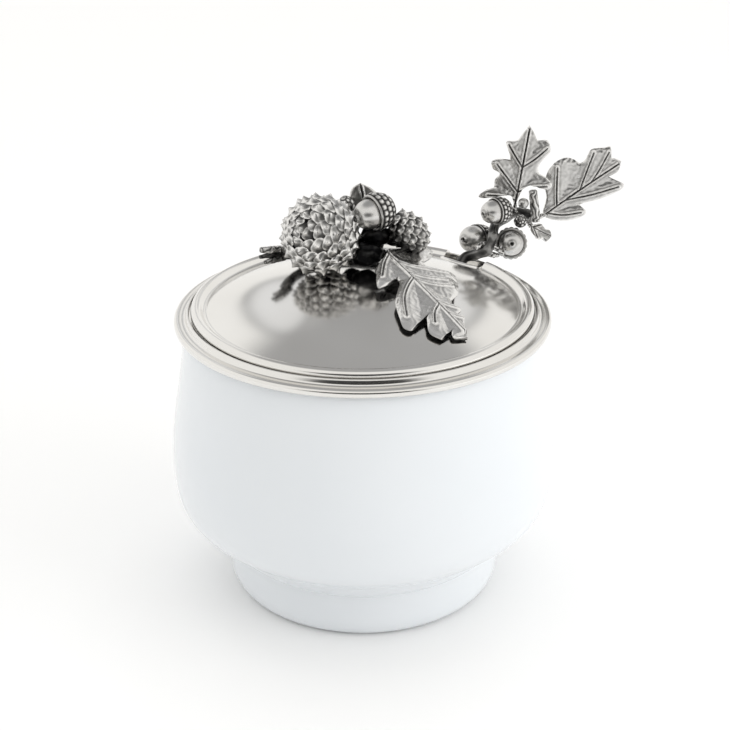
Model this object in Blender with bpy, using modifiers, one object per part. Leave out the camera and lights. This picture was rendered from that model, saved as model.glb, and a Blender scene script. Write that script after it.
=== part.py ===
"""Sugar bowl: a glazed stoneware pot with a pewter collar, a domed pewter lid
dressed with a pine cone, an acorn and oak leaves, and a twig-handled sugar
spoon that stands in a notch of the lid.

Metres, +Z up.  The origin is the centre of the flat underside.  Profiles and
places are written in millimetres and scaled once, where a mesh is made.
"""

import math

import bmesh
import bpy
from mathutils import Matrix, Vector

MM = 0.001
WELD = 0.00001              # merge distance, metres
GAP = 0.3                   # clearance left between pieces that touch

# Pot and collar
TURN_STEPS = 48             # facets round a large turned piece
COLLAR_RADIUS = 50.0
FLOOR_THICKNESS = 9.0
WALL = 4.6
MOUTH_RADIUS = 43.8
RIM_Z = 77.3

# Lid
LID_RADIUS = 45.5
LID_THICKNESS = 1.4
DOME_RADIUS = 111.9         # radius of the sphere that the dome is cut from
DOME_APEX_Z = 88.6
DOME_EDGE = 40.8
SKIRT_OUTER = 41.8
SKIRT_INNER = 40.6
SKIRT_BOTTOM_Z = 72.5

# Notch for the spoon
NOTCH_AZIMUTH = math.radians(47.0)
NOTCH_HALF_WIDTH = 7.0
NOTCH_DEPTH_RADIUS = 36.4   # how near the axis the notch reaches

# Spoon
STEM_ELEVATION = math.radians(50.0)
STEM_NOTCH_RADIUS = 40.4    # distance from the pot's axis where it passes the lid
STEM_NOTCH_Z = 80.0
SPOON_BOWL_LENGTH = 36.0
SPOON_BOWL_WIDTH = 21.0
SPOON_BOWL_DEPTH = 4.5
SPOON_TIP_Z = 10.4
METAL_LEAF = 0.9            # thickness of the cast leaves


# ---------------------------------------------------------------- tools

def clear_scene():
    for old in list(bpy.data.objects):
        bpy.data.objects.remove(old, do_unlink=True)


def new_collection(name):
    collection = bpy.data.collections.new(name)
    bpy.context.scene.collection.children.link(collection)
    return collection


def finish(name, colour, roughness, metallic):
    """A plain Principled material."""
    material = bpy.data.materials.new(name)
    material.use_nodes = True
    shader = material.node_tree.nodes["Principled BSDF"]
    shader.inputs["Base Color"].default_value = (*colour, 1.0)
    shader.inputs["Roughness"].default_value = roughness
    shader.inputs["Metallic"].default_value = metallic
    material.diffuse_color = (*colour, 1.0)
    return material


GLAZE = ((0.88, 0.89, 0.90), 0.15, 0.0)
POLISHED = ((0.66, 0.65, 0.63), 0.18, 1.0)
ANTIQUED = ((0.47, 0.46, 0.44), 0.34, 1.0)


def add_object(name, mesh, look, collection):
    obj = bpy.data.objects.new(name, mesh)
    collection.objects.link(obj)
    mesh.materials.append(finish(name + "_finish", *look))
    return obj


def smooth(mesh, degrees=35.0):
    mesh.shade_smooth()
    mesh.set_sharp_from_angle(angle=math.radians(degrees))


def aim(place, direction):
    """Matrix that stands a piece's +Z along direction, with its base at place."""
    turn = Vector(direction).normalized().to_track_quat("Z", "Y").to_matrix().to_4x4()
    return Matrix.Translation(Vector(place) * MM) @ turn


def turned(name, profile, look, collection, steps=TURN_STEPS, matrix=None, ring=False):
    """Turn a profile of (radius, height) about Z with a Screw modifier.

    The profile runs down its outer side.  A ring's profile closes on itself.
    """
    points = [(r * MM, 0.0, z * MM) for r, z in profile]
    edges = [(i, i + 1) for i in range(len(points) - 1)]
    if ring:
        edges.append((len(points) - 1, 0))
    mesh = bpy.data.meshes.new(name)
    mesh.from_pydata(points, edges, [])
    obj = add_object(name, mesh, look, collection)
    screw = obj.modifiers.new("turn", "SCREW")
    screw.steps = steps
    screw.render_steps = steps
    screw.use_merge_vertices = True
    screw.merge_threshold = WELD
    screw.use_smooth_shade = True
    if matrix is not None:
        obj.matrix_world = matrix
    return obj


def rod(name, points, radii, look, collection, sides=2):
    """A round wire along a list of points, with its own radius at each."""
    curve = bpy.data.curves.new(name, "CURVE")
    curve.dimensions = "3D"
    curve.bevel_depth = MM
    curve.bevel_resolution = sides
    curve.use_fill_caps = True
    curve.render_resolution_u = 0
    spline = curve.splines.new("POLY")
    spline.points.add(len(points) - 1)
    for point, place, radius in zip(spline.points, points, radii):
        point.co = (*(Vector(place) * MM), 1.0)
        point.radius = radius
    return add_object(name, curve, look, collection)


def bend(points, count):
    """Evenly spaced points on a smooth curve through the given ones."""
    knots = [Vector(p) for p in points]
    knots = [2 * knots[0] - knots[1], *knots, 2 * knots[-1] - knots[-2]]
    spans = len(knots) - 3
    path = []
    for i in range(count):
        u = i / (count - 1) * spans
        k = min(int(u), spans - 1)
        t = u - k
        a, b, c, d = knots[k:k + 4]
        path.append(0.5 * (2 * b + (c - a) * t + (2 * a - 5 * b + 4 * c - d) * t ** 2
                           + (3 * b - a - 3 * c + d) * t ** 3))
    return path


def leaf(name, left, right, length, place, collection, steps=22, rows=3):
    """A lobed oak leaf: two outlines of (along, across) lofted to the midrib.

    place(along, across) puts a point of the flat leaf where it belongs, and a
    Solidify modifier gives the sheet its thickness.
    """
    outlines = []
    for side, sign in ((left, -1.0), (right, 1.0)):
        edge = [(0.0, 0.0), *side, (length, 0.0)]
        outlines.append([(p.x, sign * p.y)
                         for p in bend([(a, b, 0.0) for a, b in edge], steps + 1)])
    shape = bmesh.new()
    grid = []
    for i in range(steps + 1):
        rib = length * i / steps
        across = []
        for j in range(-rows, rows + 1):
            share = abs(j) / rows
            far = outlines[0][i] if j < 0 else outlines[1][i]
            across.append(shape.verts.new(
                place(rib + share * (far[0] - rib), share * far[1]) * MM))
        grid.append(across)
    for i in range(steps):
        for j in range(2 * rows):
            shape.faces.new((grid[i][j], grid[i][j + 1], grid[i + 1][j + 1], grid[i + 1][j]))
    bmesh.ops.remove_doubles(shape, verts=shape.verts, dist=WELD)
    bmesh.ops.recalc_face_normals(shape, faces=shape.faces)
    mesh = bpy.data.meshes.new(name)
    shape.to_mesh(mesh)
    shape.free()
    smooth(mesh)
    obj = add_object(name, mesh, ANTIQUED, collection)
    solidify = obj.modifiers.new("thickness", "SOLIDIFY")
    solidify.thickness = METAL_LEAF * MM
    solidify.offset = 0.0
    return obj


def sheet_place(base, tip, across_dir, bow, cup):
    """Place for a free leaf: a flat sheet from base to tip, bowed and cupped."""
    base, tip = Vector(base), Vector(tip)
    along_dir = (tip - base).normalized()
    across_dir = Vector(across_dir)
    across_dir = (across_dir - across_dir.dot(along_dir) * along_dir).normalized()
    normal = along_dir.cross(across_dir)
    length = (tip - base).length

    def place(along, across):
        u = along / length
        lift = bow * 4.0 * u * (1.0 - u) + cup * (across / 8.0) ** 2
        return base + along * along_dir + across * across_dir + lift * normal

    return place


def scaly(name, length, width, spirals, depth, matrix, collection, segments=28, rings=16):
    """An egg covered with scales set along two families of spirals."""
    shape = bmesh.new()
    bmesh.ops.create_uvsphere(shape, u_segments=segments, v_segments=rings, radius=1.0)
    for vert in shape.verts:
        x, y, z = vert.co
        polar = math.acos(max(-1.0, min(1.0, z)))
        round_angle = math.atan2(y, x)
        scale = (math.cos(spirals * round_angle + spirals * polar)
                 * math.cos(spirals * round_angle - spirals * polar))
        swell = 1.0 - depth * (0.5 - 0.5 * scale) * math.sin(polar)
        vert.co = Vector((x * width * swell, y * width * swell, z * length * swell)) * MM / 2.0
    mesh = bpy.data.meshes.new(name)
    shape.to_mesh(mesh)
    shape.free()
    smooth(mesh, 60.0)
    obj = add_object(name, mesh, ANTIQUED, collection)
    obj.matrix_world = matrix
    return obj


def dome_height(x, y):
    """Height of the lid's dome above the underside of the pot."""
    sag = DOME_RADIUS - math.sqrt(DOME_RADIUS ** 2 - x * x - y * y)
    return DOME_APEX_Z - sag


# ---------------------------------------------------------------- pot

def stoneware_bowl(collection):
    """Thrown pot: straight foot, low round belly, walls drawn in to the collar."""
    outside = [(RIM_Z, 47.3), (66.0, 48.8), (58.0, 50.1), (50.0, 51.4), (43.0, 52.1),
               (36.5, 52.2), (30.0, 51.7), (25.5, 50.2), (22.0, 47.0), (19.3, 42.8),
               (17.2, 39.4), (15.0, 37.8), (5.0, 37.8), (1.6, 36.4), (0.0, 33.4)]
    inside = [(FLOOR_THICKNESS, 24.0), (11.0, 34.0), (16.0, 40.5), (23.0, 44.6),
              (36.0, 52.2 - WALL), (50.0, 51.4 - WALL), (66.0, 48.8 - WALL),
              (72.0, MOUTH_RADIUS), (RIM_Z, MOUTH_RADIUS)]
    profile = [(0.0, FLOOR_THICKNESS)]
    profile += [(r, z) for z, r in inside]
    profile += [(r, z) for z, r in outside]
    profile += [(0.0, 0.0)]
    turned("stoneware_bowl", profile, GLAZE, collection)


def rim_collar(collection):
    """Pewter collar: a rolled outer lip, a sloping flange with the lid's seat,
    and a neck that is cemented into the pot's mouth."""
    neck_outer = MOUTH_RADIUS - GAP - 0.2
    neck_inner = neck_outer - 0.9
    under = RIM_Z + GAP + 0.1
    seat = 79.3
    profile = [(46.4, 80.2), (48.6, 79.3), (49.7, 78.8), (COLLAR_RADIUS, 78.1),
               (49.7, 77.1), (48.9, 76.7), (48.1, 77.2), (47.6, under),
               (neck_outer, under), (neck_outer, 70.8), (neck_inner, 70.8),
               (neck_inner, 78.9), (43.0, seat), (46.0, seat), (46.0, 80.1)]
    turned("rim_collar", profile, POLISHED, collection, ring=True)


# ---------------------------------------------------------------- lid

def notch_cutter(collection):
    """A round-ended slot that opens outwards, from a stretched cylinder."""
    radius = NOTCH_HALF_WIDTH * MM
    shape = bmesh.new()
    bmesh.ops.create_cone(shape, cap_ends=True, segments=24, radius1=radius,
                          radius2=radius, depth=30.0 * MM)
    for vert in shape.verts:
        if vert.co.x > WELD:
            vert.co.x += 14.0 * MM
    mesh = bpy.data.meshes.new("notch_cutter")
    shape.to_mesh(mesh)
    shape.free()
    cutter = bpy.data.objects.new("notch_cutter", mesh)
    collection.objects.link(cutter)
    centre = (NOTCH_DEPTH_RADIUS + NOTCH_HALF_WIDTH) * MM
    cutter.matrix_world = (Matrix.Rotation(NOTCH_AZIMUTH, 4, "Z")
                           @ Matrix.Translation((centre, 0.0, 78.0 * MM)))
    cutter.hide_render = True
    cutter.display_type = "WIRE"
    return cutter


def cut(obj, cutter):
    boolean = obj.modifiers.new("notch", "BOOLEAN")
    boolean.operation = "DIFFERENCE"
    boolean.solver = "EXACT"
    boolean.object = cutter


def lid_plate(collection, cutter):
    """Spun dome with a rolled bead at its edge, notched for the spoon."""
    steps = 7
    dome = [DOME_EDGE * i / steps for i in range(steps + 1)]
    under = [(r, dome_height(r, 0.0) - LID_THICKNESS) for r in dome]
    bead = [(41.6, 80.5), (42.4, 80.9), (43.1, 81.7), (44.1, 82.05), (45.0, 81.6),
            (LID_RADIUS, 80.8), (LID_RADIUS, 79.9), (45.2, 79.6), (41.8, 79.6)]
    profile = [(r, dome_height(r, 0.0)) for r in dome] + bead + under[::-1]
    plate = turned("lid_plate", profile, POLISHED, collection)
    cut(plate, cutter)


def lid_locating_ring(collection, cutter):
    """Short skirt soldered under the lid, which keeps it centred in the neck."""
    top = 79.2
    profile = [(SKIRT_OUTER, top), (SKIRT_OUTER, SKIRT_BOTTOM_Z),
               (SKIRT_INNER, SKIRT_BOTTOM_Z), (SKIRT_INNER, top)]
    ring = turned("lid_locating_ring", profile, POLISHED, collection, ring=True)
    cut(ring, cutter)


def acorn(prefix, place, direction, size, collection, cup_size=None):
    """A nut and its cup, two nodes: place is the nut's middle, and direction
    points from the cup to the tip."""
    cup_size = cup_size or size * 1.3
    r, c = size / 2.0, cup_size / 2.0
    nut = [(0.0, 1.25 * r), (0.22 * r, 1.08 * r), (0.62 * r, 0.86 * r), (0.92 * r, 0.42 * r),
           (r, -0.1 * r), (0.94 * r, -0.55 * r), (0.6 * r, -0.9 * r), (0.0, -r)]
    cup = [(r + 0.35, -0.25 * r), (c, -0.3 * r), (c, -0.7 * r), (0.78 * c, -1.3 * r),
           (0.4 * c, -1.6 * r), (0.0, -1.7 * r)]
    hollow = [(0.0, -r - GAP - 0.1), (0.6 * r + 0.2, -0.9 * r - GAP), (0.94 * r + 0.35, -0.55 * r)]
    matrix = aim(place, direction)
    turned(prefix + "_nut", nut, ANTIQUED, collection, 16, matrix)
    turned(prefix + "_cup", hollow + cup, ANTIQUED, collection, 16, matrix)


def bud(name, place, direction, radius, collection):
    """A closed bud, a small drop shape."""
    profile = [(0.0, 1.2 * radius), (0.5 * radius, 0.9 * radius), (0.9 * radius, 0.35 * radius),
               (radius, -0.2 * radius), (0.7 * radius, -0.8 * radius), (0.0, -radius)]
    turned(name, profile, ANTIQUED, collection, 12, aim(place, direction))


def front_leaf(collection):
    """Large oak leaf draped down the dome from the middle to the front right."""
    base, tip = Vector((6.7, 0.5, 0.0)), Vector((26.0, -27.9, 0.0))
    length = (tip - base).length
    along_dir = (tip - base) / length
    across_dir = Vector((-along_dir.y, along_dir.x, 0.0))

    def place(along, across):
        spot = base + along * along_dir + across * across_dir
        rise = 4.2 * (1.0 - min(1.0, max(0.0, along / length))) ** 2
        droop = 0.06 if across < 0.0 else 0.02
        hover = 1.2 + rise * (1.0 - droop * abs(across))
        return Vector((spot.x, spot.y, dome_height(spot.x, spot.y) + hover))

    left = [(1.0, 1.7), (4.2, 5.0), (6.4, 8.8), (8.4, 6.0), (9.4, 3.6), (15.7, 8.4),
            (22.4, 12.5), (26.0, 11.0), (25.4, 6.4), (29.0, 7.4), (32.2, 6.2), (32.0, 2.2)]
    right = [(-4.0, 3.0), (-5.5, 9.0), (-3.2, 16.8), (0.5, 13.2), (6.7, 13.1), (14.7, 12.0),
             (19.0, 8.4), (22.4, 4.9), (25.6, 5.4), (29.0, 1.8)]
    leaf("oak_leaf_front", left, right, length, place, collection, steps=30)


def rear_leaf(collection):
    """Small curled leaf that stands behind the acorn."""
    place = sheet_place((2.0, 13.2, 95.5), (-0.6, 16.5, 109.0), (1.0, 0.0, 0.2), 1.2, 1.0)
    side = [(3.0, 1.6), (6.0, 3.4), (8.5, 2.2), (11.0, 3.0)]
    leaf("oak_leaf_rear", side, side, 14.0, place, collection, steps=12, rows=2)


def lid_twigs(collection):
    """The branch that lies on the dome, its split left end and the acorn's stalk."""
    branch = bend([(-23.0, 9.0, 92.0), (-18.5, 14.6, 89.7), (-9.0, 17.4, 88.9),
                   (2.0, 14.8, 89.8), (9.0, 11.0, 89.4)], 17)
    rod("lid_branch", branch, [2.0 - 0.04 * i for i in range(17)], ANTIQUED, collection)
    fork = bend([(-23.6, 7.7, 92.7), (-24.6, 6.0, 93.5), (-26.2, 4.4, 93.9)], 5)
    rod("branch_end", fork, [2.1, 2.2, 2.3, 2.2, 1.9], ANTIQUED, collection)
    stalk = bend([(4.2, 11.2, 92.6), (4.8, 11.2, 95.6), (5.8, 11.2, 98.0)], 6)
    rod("acorn_stalk", stalk, [1.5, 1.4, 1.3, 1.2, 1.2, 1.2], ANTIQUED, collection)


def cluster_bed(collection):
    """Lump of casting metal on the dome that the cone, acorn and leaf stand on."""
    profile = [(0.0, 3.4), (1.6, 3.1), (2.9, 1.7), (3.5, -0.5), (3.4, -2.1),
               (2.7, -3.1), (0.0, -3.4)]
    turned("cluster_bed", profile, ANTIQUED, collection, 16, aim((1.5, 6.2, 92.4), (0.0, 0.0, 1.0)))


def lid_ornaments(collection):
    scaly("pine_cone", 19.6, 19.4, 5.0, 0.13,
          aim((-11.0, 4.0, 98.5), (-0.25, -0.9, -0.2)), collection, 32, 20)
    scaly("cone_piece", 12.0, 8.4, 4.0, 0.12,
          aim((12.4, 8.0, 97.9), (0.69, -0.35, -0.64)), collection, 20, 12)
    acorn("lid_acorn", (2.1, 5.4, 103.9), (-0.8, -0.55, -0.12), 8.0, collection, 10.2)
    bud("lid_bud", (-4.2, 13.6, 103.8), (-0.3, -0.4, 0.8), 2.3, collection)
    front_leaf(collection)
    rear_leaf(collection)
    lid_twigs(collection)
    cluster_bed(collection)


# ---------------------------------------------------------------- spoon

def on_stem(distance):
    """Point on the stem's axis, distance up it from where it passes the lid."""
    radius = STEM_NOTCH_RADIUS + distance * math.cos(STEM_ELEVATION)
    return Vector((radius * math.cos(NOTCH_AZIMUTH), radius * math.sin(NOTCH_AZIMUTH),
                   STEM_NOTCH_Z + distance * math.sin(STEM_ELEVATION)))


def stem_frame():
    """Unit vectors down the stem, sideways, and up out of the spoon's bowl."""
    down = (on_stem(-1.0) - on_stem(0.0)).normalized()
    side = Vector((-math.sin(NOTCH_AZIMUTH), math.cos(NOTCH_AZIMUTH), 0.0))
    up = side.cross(down)
    if up.z < 0.0:
        up = -up
    return down, side, up


def spoon_bowl(collection):
    """Oval scoop on the end of the stem, a cup-shaped sheet with Solidify."""
    down, side, up = stem_frame()
    reach = (STEM_NOTCH_Z - SPOON_TIP_Z) / math.sin(STEM_ELEVATION)
    centre = on_stem(-(reach - SPOON_BOWL_LENGTH / 2.0))
    rings, round_steps = 5, 24
    shape = bmesh.new()
    middle = shape.verts.new((centre - SPOON_BOWL_DEPTH * up) * MM)
    circles = []
    for i in range(1, rings + 1):
        share = i / rings
        circle = []
        for k in range(round_steps):
            turn = 2.0 * math.pi * k / round_steps
            spot = (centre + down * SPOON_BOWL_LENGTH / 2.0 * share * math.cos(turn)
                    + side * SPOON_BOWL_WIDTH / 2.0 * share * math.sin(turn)
                    - up * SPOON_BOWL_DEPTH * (1.0 - share * share))
            circle.append(shape.verts.new(spot * MM))
        circles.append(circle)
    for k in range(round_steps):
        after = (k + 1) % round_steps
        shape.faces.new((middle, circles[0][k], circles[0][after]))
        for inner, outer in zip(circles, circles[1:]):
            shape.faces.new((inner[k], outer[k], outer[after], inner[after]))
    mesh = bpy.data.meshes.new("spoon_bowl")
    shape.to_mesh(mesh)
    shape.free()
    smooth(mesh)
    obj = add_object("spoon_bowl", mesh, POLISHED, collection)
    solidify = obj.modifiers.new("thickness", "SOLIDIFY")
    solidify.thickness = 1.2 * MM
    solidify.offset = 0.0


def spoon_stem(collection):
    """Twig-shaped stem, straight inside the pot and bent over outside it."""
    reach = (STEM_NOTCH_Z - SPOON_TIP_Z) / math.sin(STEM_ELEVATION)
    lowest = -(reach - SPOON_BOWL_LENGTH - 1.2)
    straight = [on_stem(lowest + (2.0 - lowest) * i / 8.0) for i in range(9)]
    outside = bend([on_stem(2.0), (31.6, 31.2, 82.5), (35.0, 32.8, 83.2), (37.0, 35.2, 85.6),
                    (37.6, 38.2, 87.5), (39.2, 42.6, 88.3), (44.5, 46.8, 89.8),
                    (50.4, 47.2, 88.6)], 16)[1:]
    radii = [1.5, 1.5, 1.5, 1.6, 1.6, 1.6, 1.6, 1.6, 1.5, 1.5, 1.5, 1.5,
             1.5, 1.5, 1.5, 1.5, 1.5, 1.6, 1.6, 1.6, 1.6, 1.6, 1.5, 1.5]
    rod("spoon_stem", straight + outside, radii, ANTIQUED, collection)
    stub = [(50.2, 43.8, 88.2), (50.0, 43.8, 90.4), (49.4, 43.8, 94.2), (49.0, 43.8, 97.4)]
    rod("spoon_twig", stub, [1.3, 1.4, 1.4, 1.3], ANTIQUED, collection)


def spoon_leaves(collection):
    left = [(3.0, 4.0), (1.8, 10.4), (5.4, 8.0), (8.0, 6.6), (11.2, 9.0), (13.4, 6.8),
            (14.4, 3.9), (18.2, 5.9), (19.6, 2.6)]
    right = [(3.2, 1.0), (6.0, 3.4), (7.0, 8.9), (9.6, 8.6), (10.8, 5.2), (15.4, 5.8),
             (19.4, 6.9), (20.2, 3.0)]
    place = sheet_place((43.9, 44.4, 92.5), (47.4, 44.4, 116.4), (1.0, 0.0, 0.0), -0.3, -0.3)
    leaf("spoon_leaf_upright", left, right, 24.2, place, collection)
    top = [(1.6, 1.6), (5.6, 7.4), (11.6, 11.2), (15.6, 10.0), (17.6, 6.6), (22.2, 8.3),
           (27.5, 5.8), (26.2, 2.6)]
    low = [(1.7, 3.0), (6.0, 6.2), (10.2, 6.8), (11.4, 4.2), (16.7, 6.3), (23.4, 6.8),
           (22.6, 2.2)]
    place = sheet_place((52.5, 47.4, 88.6), (74.6, 47.4, 104.9), (0.6, 0.0, -0.8), 0.4, -0.3)
    leaf("spoon_leaf_right", top, low, 27.5, place, collection)
    side = [(1.5, 1.6), (3.5, 2.9), (5.5, 1.9), (6.6, 2.2)]
    place = sheet_place((48.4, 43.0, 87.0), (54.8, 43.0, 83.6), (0.5, 0.2, 0.9), 0.3, 0.3)
    leaf("spoon_leaf_low", side, side, 7.2, place, collection, steps=10, rows=2)


def spoon_acorns(collection):
    acorn("spoon_acorn_left", (32.3, 41.0, 83.7), (-0.72, -0.62, 0.2), 8.0, collection, 8.8)
    acorn("spoon_acorn_right", (42.7, 37.4, 83.7), (-0.05, -0.9, 0.3), 7.1, collection, 9.3)
    acorn("spoon_acorn_top", (37.2, 36.6, 93.6), (-0.8, -0.55, 0.0), 6.6, collection, 8.0)
    bud("spoon_bud", (46.2, 41.6, 94.4), (0.1, -0.9, 0.4), 1.6, collection)
    bud("spoon_berry", (45.5, 41.4, 89.1), (-0.1, -0.8, 0.6), 1.8, collection)


def build():
    clear_scene()
    parts = new_collection("sugar_bowl")
    cutters = new_collection("cutters")
    cutter = notch_cutter(cutters)
    stoneware_bowl(parts)
    rim_collar(parts)
    lid_plate(parts, cutter)
    lid_locating_ring(parts, cutter)
    lid_ornaments(parts)
    spoon_bowl(parts)
    spoon_stem(parts)
    spoon_leaves(parts)
    spoon_acorns(parts)


build()
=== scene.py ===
import math

import bpy
import numpy as np
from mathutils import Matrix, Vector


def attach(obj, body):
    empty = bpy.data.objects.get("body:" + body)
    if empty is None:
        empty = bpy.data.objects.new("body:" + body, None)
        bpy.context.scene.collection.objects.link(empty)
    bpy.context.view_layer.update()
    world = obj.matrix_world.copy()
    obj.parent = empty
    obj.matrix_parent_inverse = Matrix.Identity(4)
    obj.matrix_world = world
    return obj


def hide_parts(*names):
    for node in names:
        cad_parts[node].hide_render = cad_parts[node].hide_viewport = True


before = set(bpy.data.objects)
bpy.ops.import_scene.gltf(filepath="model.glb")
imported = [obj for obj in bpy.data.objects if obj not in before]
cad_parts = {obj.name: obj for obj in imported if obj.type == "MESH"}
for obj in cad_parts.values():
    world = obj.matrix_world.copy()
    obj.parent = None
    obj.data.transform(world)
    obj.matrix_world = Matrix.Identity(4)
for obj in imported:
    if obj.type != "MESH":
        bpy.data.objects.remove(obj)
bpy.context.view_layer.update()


# ------------------------------------------------------------------ the table
# The bowl stands on a plain pale table in a white room, with two soft lamps.
# The lid mirrors grey ovals of the room: a ceiling, a patch in front of it, two
# leaning diffusers with darker rims, and a dark patch on the camera's side.

MM = 0.001
CAMERA_DISTANCE = 400.0 * MM
CAMERA_ELEVATION = math.radians(24.9)
CAMERA_AIM_X, CAMERA_AIM_Z = 1.28 * MM, 62.7 * MM
CAMERA_ROLL = math.radians(0.25)
LENS_MM, SENSOR_MM = 72.8877, 36.0

lens = bpy.data.cameras.new("studio_camera")
lens.sensor_width = SENSOR_MM
lens.lens = LENS_MM
lens.clip_start, lens.clip_end = 0.01, 20.0
camera = bpy.data.objects.new("studio_camera", lens)
camera.location = (CAMERA_AIM_X, -CAMERA_DISTANCE * math.cos(CAMERA_ELEVATION),
                   CAMERA_AIM_Z + CAMERA_DISTANCE * math.sin(CAMERA_ELEVATION))
camera.rotation_euler = (math.pi / 2.0 - CAMERA_ELEVATION, CAMERA_ROLL, 0.0)
bpy.context.scene.collection.objects.link(camera)
bpy.context.scene.camera = camera
bpy.context.scene.view_settings.view_transform = "Standard"

room = bpy.data.worlds.new("white_room")
bpy.context.scene.world = room
room.use_nodes = True
room_nodes, room_links = room.node_tree.nodes, room.node_tree.links
sky = room_nodes["Background"]
sky.inputs["Strength"].default_value = 1.0
direction = room_nodes.new("ShaderNodeTexCoord")


def room_maths(operation, first, second):
    """One maths node on two inputs, each a number or another node's output."""
    node = room_nodes.new("ShaderNodeMath")
    node.operation = operation
    for socket, value in zip(node.inputs, (first, second)):
        if isinstance(value, float):
            socket.default_value = value
        else:
            room_links.new(value, socket)
    return node.outputs["Value"]


def oval_of_room(azimuth, elevation, half_width, half_height, roll, softness):
    """1 inside an oval of the room, fading to 0 at its rim.

    The middle is given as degrees right of straight ahead and above level, and
    the half sizes are in degrees. Where a direction d has the components x and
    y along the oval's own axes, it is at (x / sin w, y / sin h) from the middle.
    """
    turn, rise, lean = (math.radians(angle) for angle in (azimuth, elevation, roll))
    middle = np.array((math.sin(turn) * math.cos(rise), math.cos(turn) * math.cos(rise),
                       math.sin(rise)))
    right = np.array((math.cos(turn), -math.sin(turn), 0.0))
    up = np.cross(right, middle)
    across = math.cos(lean) * right + math.sin(lean) * up
    along = math.cos(lean) * up - math.sin(lean) * right
    parts = []
    for axis in (across / math.sin(math.radians(half_width)),
                 along / math.sin(math.radians(half_height)), middle):
        dot = room_nodes.new("ShaderNodeVectorMath")
        dot.operation = "DOT_PRODUCT"
        dot.inputs[1].default_value = axis
        room_links.new(direction.outputs["Generated"], dot.inputs[0])
        parts.append(dot.outputs["Value"])
    square = room_maths("ADD", room_maths("MULTIPLY", parts[0], parts[0]),
                        room_maths("MULTIPLY", parts[1], parts[1]))
    fade = room_nodes.new("ShaderNodeMapRange")
    fade.interpolation_type = "SMOOTHSTEP"
    fade.inputs["From Min"].default_value = 1.0 + softness
    fade.inputs["From Max"].default_value = 1.0 - softness
    room_links.new(room_maths("POWER", square, 0.5), fade.inputs["Value"])
    return room_maths("MULTIPLY", fade.outputs["Result"],
                      room_maths("GREATER_THAN", parts[2], 0.0))


WALL_WHITE = (1.02, 1.01, 0.985, 1.0)
# Each oval: azimuth, elevation, half width, half height, roll, softness, grey.
ROOM_OVALS = ((0.0, 74.0, 31.0, 31.0, 0.0, 0.18, 0.44), (0.0, 40.0, 9.5, 13.0, 0.0, 0.35, 0.42),
              (-15.5, 31.0, 6.3, 18.5, 14.0, 0.10, 0.34), (-15.5, 31.0, 4.9, 16.0, 14.0, 0.20, 0.88),
              (15.5, 31.0, 6.3, 18.5, -14.0, 0.10, 0.34), (15.5, 31.0, 4.9, 16.0, -14.0, 0.20, 0.88),
              (180.0, 15.0, 34.0, 15.0, 0.0, 0.30, 0.05))
shade = None
for *oval, grey in ROOM_OVALS:
    mix = room_nodes.new("ShaderNodeMix")
    mix.data_type = "RGBA"
    if shade is None:
        mix.inputs["A"].default_value = WALL_WHITE
    else:
        room_links.new(shade, mix.inputs["A"])
    mix.inputs["B"].default_value = (grey, grey, grey, 1.0)
    room_links.new(oval_of_room(*oval), mix.inputs["Factor"])
    shade = mix.outputs["Result"]
room_links.new(shade, sky.inputs["Color"])

# Broad light from above, which the metal doesn't mirror, and a weak one from
# the right, which models the pot.
overhead = bpy.data.lights.new("overhead", "SUN")
overhead.energy = 0.75
overhead.angle = math.radians(50.0)
overhead_lamp = bpy.data.objects.new("overhead", overhead)
overhead_lamp.rotation_euler = (math.radians(-18.0), 0.0, 0.0)
overhead_lamp.visible_glossy = False
bpy.context.scene.collection.objects.link(overhead_lamp)

side = bpy.data.lights.new("side_panel", "AREA")
side.size = 0.6
side.energy = 2.2
side_panel = bpy.data.objects.new("side_panel", side)
side_panel.location = (0.8, -0.35, 0.35)
side_panel.rotation_euler = Vector((-0.8, 0.35, -0.3)).to_track_quat("-Z", "Y").to_euler()
side_panel.visible_glossy = False
bpy.context.scene.collection.objects.link(side_panel)

TABLE_HALF = 3.0
bpy.ops.mesh.primitive_plane_add(size=2.0 * TABLE_HALF)
table = bpy.context.object
table.name = "table_top"
table_finish = bpy.data.materials.new("pale_table")
table_finish.use_nodes = True
table_shader = table_finish.node_tree.nodes["Principled BSDF"]
table_shader.inputs["Base Color"].default_value = (0.96, 0.96, 0.96, 1.0)
table_shader.inputs["Roughness"].default_value = 0.6
table_shader.inputs["Specular IOR Level"].default_value = 0.2
table.data.materials.append(table_finish)


# ------------------------------------------------------------- stoneware pot
# Thrown in white stoneware and glazed all over: a straight foot, a low round
# belly and a wall that draws in to the collar. It is one clay body, so it is
# one turned surface, inside and out.

POT_STEPS = 288
WALL = 4.6
MOUTH_RADIUS = 43.8
GLAZE_COLOUR = (0.80, 0.82, 0.84, 1.0)


def curve_through(points, count):
    """Catmull-Rom curve: each span is the cubic that passes through its two
    ends with slopes parallel to the chords between their neighbours."""
    p = np.asarray(points, float)
    p = np.vstack([2.0 * p[0] - p[1], p, 2.0 * p[-1] - p[-2]])
    u = np.linspace(0.0, len(p) - 3.0, count)
    k = np.minimum(u.astype(int), len(p) - 4)
    t = (u - k)[:, None]
    a, b, c, d = p[k], p[k + 1], p[k + 2], p[k + 3]
    return 0.5 * (2.0 * b + (c - a) * t + (2.0 * a - 5.0 * b + 4.0 * c - d) * t ** 2
                  + (3.0 * b - a - 3.0 * c + d) * t ** 3)


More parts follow.
